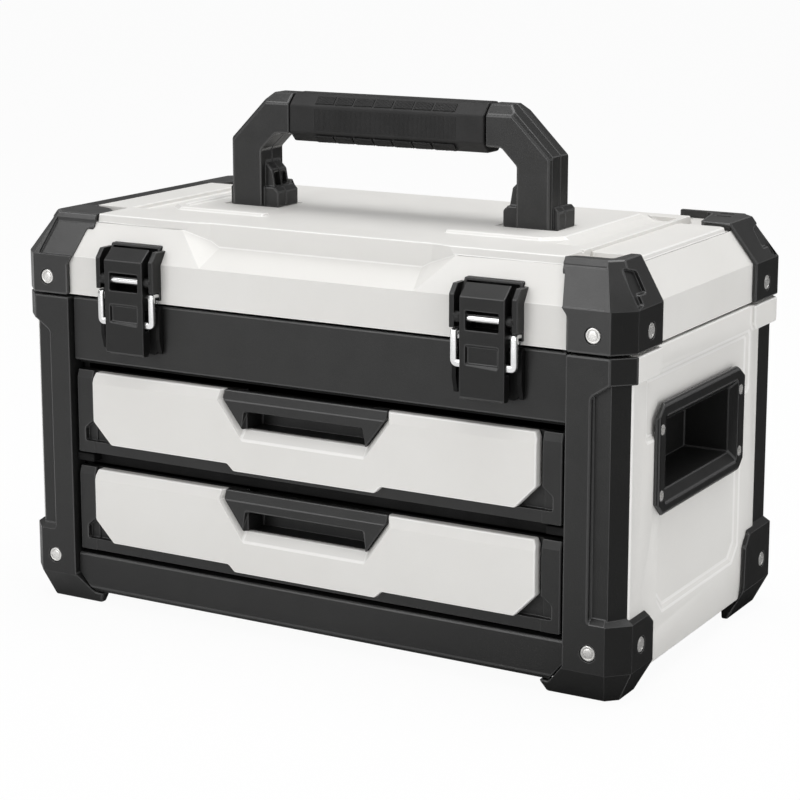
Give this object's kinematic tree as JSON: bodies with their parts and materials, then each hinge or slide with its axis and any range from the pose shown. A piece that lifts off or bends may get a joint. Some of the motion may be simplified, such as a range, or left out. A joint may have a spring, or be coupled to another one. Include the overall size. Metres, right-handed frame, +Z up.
{
  "type": "portable tool box with drawers",
  "caption": "Portable tool box with a hinged lid over an open well, drawers with finger pulls, latches, corner guards and a fixed carrying handle.",
  "frame": {"origin": "on the floor under the middle of the whole box", "axes": "+Z up, -Y to the front with the drawers and latches, +X to the right seen from the front"},
  "size_m": [0.42, 0.248, 0.3235],
  "materials": {
    "shell_white": "fine satin moulding",
    "frame_black": "fine textured moulding",
    "latch_black": "fine textured moulding",
    "grip_rubber": "soft ribbed rubber",
    "screw_steel": "bright screw heads",
    "plated_wire": "bright plated"
  },
  "bodies": {
    "case": {"side_panel_right": "shell_white", "side_panel_left": "shell_white", "back_panel": "shell_white", "base_plate": "frame_black", "well_tray": "frame_black", "front_band": "frame_black", "bottom_rail": "frame_black", "divider_strip": "frame_black", "runner_cheeks": "frame_black", "post_front_right": "frame_black", "post_front_left": "frame_black", "post_rear_right": "frame_black", "post_rear_left": "frame_black", "side_handle_right": "frame_black", "side_handle_left": "frame_black", "side_handle_screws": "screw_steel", "case_screws": "screw_steel", "hinge_case_leaves": "plated_wire", "hinge_pins": "plated_wire", "latch_catch_right": "latch_black", "latch_catch_left": "latch_black"},
    "lid": {"lid": "shell_white", "guard_front_right": "frame_black", "guard_front_left": "frame_black", "guard_rear_right": "frame_black", "guard_rear_left": "frame_black", "lid_edge_strip": "frame_black", "lid_screws": "screw_steel", "hinge_lid_leaves": "plated_wire", "handle_front_shell": "frame_black", "handle_rear_shell": "frame_black", "handle_sleeve": "grip_rubber", "handle_screws": "screw_steel", "latch_housing_right": "latch_black", "latch_housing_left": "latch_black", "latch_pins": "plated_wire"},
    "lever_right": {"latch_lever_right": "latch_black"},
    "lever_left": {"latch_lever_left": "latch_black"},
    "bail_right": {"latch_bail_right": "plated_wire"},
    "bail_left": {"latch_bail_left": "plated_wire"},
    "drawer_upper": {"upper_tray": "frame_black", "upper_frame": "frame_black", "upper_fascia": "shell_white", "upper_pull": "frame_black"},
    "drawer_lower": {"lower_tray": "frame_black", "lower_frame": "frame_black", "lower_fascia": "shell_white", "lower_pull": "frame_black"}
  },
  "joints": [
    {"name": "lid_hinge", "type": "hinge", "parent": "case", "child": "lid", "pos_m": [0, 0.1205, 0.2], "axis": [-1, 0, 0], "range_deg": [0, 100]},
    {"name": "drawer_upper_slide", "type": "slide", "parent": "case", "child": "drawer_upper", "axis": [0, -1, 0], "range_m": [0, 0.17]},
    {"name": "drawer_lower_slide", "type": "slide", "parent": "case", "child": "drawer_lower", "axis": [0, -1, 0], "range_m": [0, 0.17]},
    {"name": "lever_right_swing", "type": "hinge", "parent": "lid", "child": "lever_right", "pos_m": [0.1235, -0.1202, 0.2145], "axis": [-1, 0, 0], "range_deg": [0, 100]},
    {"name": "lever_left_swing", "type": "hinge", "parent": "lid", "child": "lever_left", "pos_m": [-0.1235, -0.1202, 0.2145], "axis": [-1, 0, 0], "range_deg": [0, 100]},
    {"name": "bail_right_swing", "type": "hinge", "parent": "lever_right", "child": "bail_right", "pos_m": [0.1235, -0.1182, 0.2056], "axis": [-1, 0, 0], "range_deg": [-86, 0]},
    {"name": "bail_left_swing", "type": "hinge", "parent": "lever_left", "child": "bail_left", "pos_m": [-0.1235, -0.1182, 0.2056], "axis": [-1, 0, 0], "range_deg": [-86, 0]}
  ],
  "couplings": [
    {"joint": "bail_right_swing", "follows": "lever_right_swing", "ratio": -0.85},
    {"joint": "bail_left_swing", "follows": "lever_left_swing", "ratio": -0.85}
  ]
}
